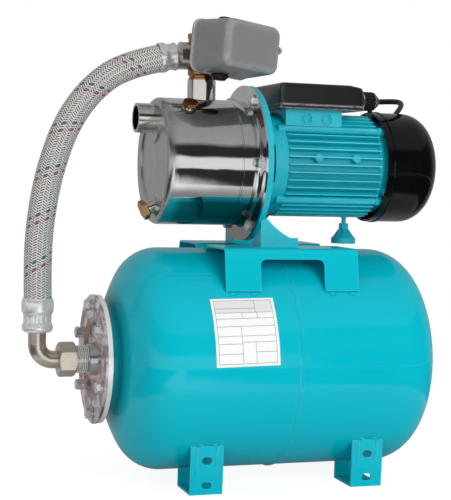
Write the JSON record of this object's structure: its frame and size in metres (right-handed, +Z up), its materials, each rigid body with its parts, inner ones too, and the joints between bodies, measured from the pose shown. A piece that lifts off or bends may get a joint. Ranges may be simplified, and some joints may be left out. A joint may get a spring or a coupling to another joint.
{
  "type": "centrifugal water pump",
  "caption": "Self-priming jet pump with a finned motor, mounted on a horizontal pressure tank, with braided hose, brass fitting and pressure switch.",
  "frame": {"origin": "on the floor, midway between the four feet", "axes": "+X along the tank and the shaft towards the fan, -Y out of the front with the label, +Z up"},
  "size_m": [0.5545, 0.3643, 0.588],
  "materials": {
    "teal_paint": "gloss",
    "neck_steel": "satin",
    "zinc_plate": "zinc plated",
    "bolt_steel": "zinc plated",
    "black_rubber": "matt",
    "black_plastic": "satin",
    "label_white": "matt",
    "stainless": "mirror polished",
    "brass": "machined",
    "seal_ceramic": "ground",
    "seal_carbon": "ground",
    "white_plastic": "moulded",
    "teal_casting": "painted gloss",
    "teal_aluminium": "painted gloss",
    "lamination": "plain",
    "copper": "enamelled",
    "shaft_steel": "ground",
    "teal_plastic": "gloss",
    "glossy_black": "gloss",
    "switch_grey": "moulded",
    "braid": "woven",
    "cord_black": "matt"
  },
  "bodies": {
    "frame": {"tank_left_half": "teal_paint", "tank_right_half": "teal_paint", "tank_neck_ring": "neck_steel", "tank_cover": "zinc_plate", "tank_cover_bolts": "bolt_steel", "tank_bladder": "black_rubber", "air_valve": "black_plastic", "front_left_foot": "teal_paint", "front_right_foot": "teal_paint", "rear_left_foot": "teal_paint", "rear_right_foot": "teal_paint", "tank_label": "label_white", "pump_saddle": "teal_paint", "pump_casing": "stainless", "casing_sockets": "stainless", "port_plugs": "brass", "seal_plate": "neck_steel", "casing_oring": "black_rubber", "seal_seat": "seal_ceramic", "diffuser": "white_plastic", "motor_adapter": "teal_casting", "pump_bolts": "bolt_steel", "motor_housing": "teal_aluminium", "rear_shield": "teal_aluminium", "motor_screws": "bolt_steel", "stator_core": "lamination", "stator_windings": "copper", "motor_bearings": "shaft_steel", "fan_cover": "glossy_black", "rear_foot": "teal_plastic", "terminal_box_base": "teal_aluminium", "terminal_box_tray": "black_plastic", "terminal_box_cover": "black_plastic", "terminal_block": "white_plastic", "run_capacitor": "white_plastic", "cable_gland": "black_plastic", "mains_lead": "cord_black", "lead_coil": "cord_black", "mains_plug": "cord_black", "plug_pins": "brass", "five_way_fitting": "brass", "union_nut": "brass", "hose_elbow": "bolt_steel", "lower_ferrule": "stainless", "swivel_nut": "brass", "upper_ferrule": "stainless", "braided_hose": "braid", "switch_base": "bolt_steel", "switch_pins": "bolt_steel", "switch_spring": "shaft_steel", "switch_contacts": "white_plastic", "switch_cover": "switch_grey", "switch_grommets": "black_rubber", "switch_cap_screw": "bolt_steel"},
    "rotor": {"motor_shaft": "shaft_steel", "rotor_core": "lamination", "impeller": "white_plastic", "cooling_fan": "black_plastic", "seal_rotor": "seal_carbon"},
    "lever": {"switch_lever": "bolt_steel"}
  },
  "joints": [
    {"name": "shaft_spin", "type": "hinge", "parent": "frame", "child": "rotor", "pos_m": [0, 0, 0.403], "axis": [1, 0, 0], "continuous": true},
    {"name": "switch_lever_tilt", "type": "hinge", "parent": "frame", "child": "lever", "pos_m": [-0.10334, -0.04457, 0.54827], "axis": [-0.0819, -0.0298, -0.9962], "range_deg": [0, 3], "stiffness_Nm_per_rad": 0.5, "springref_deg": -2.86, "deforming": ["switch_spring"]}
  ]
}
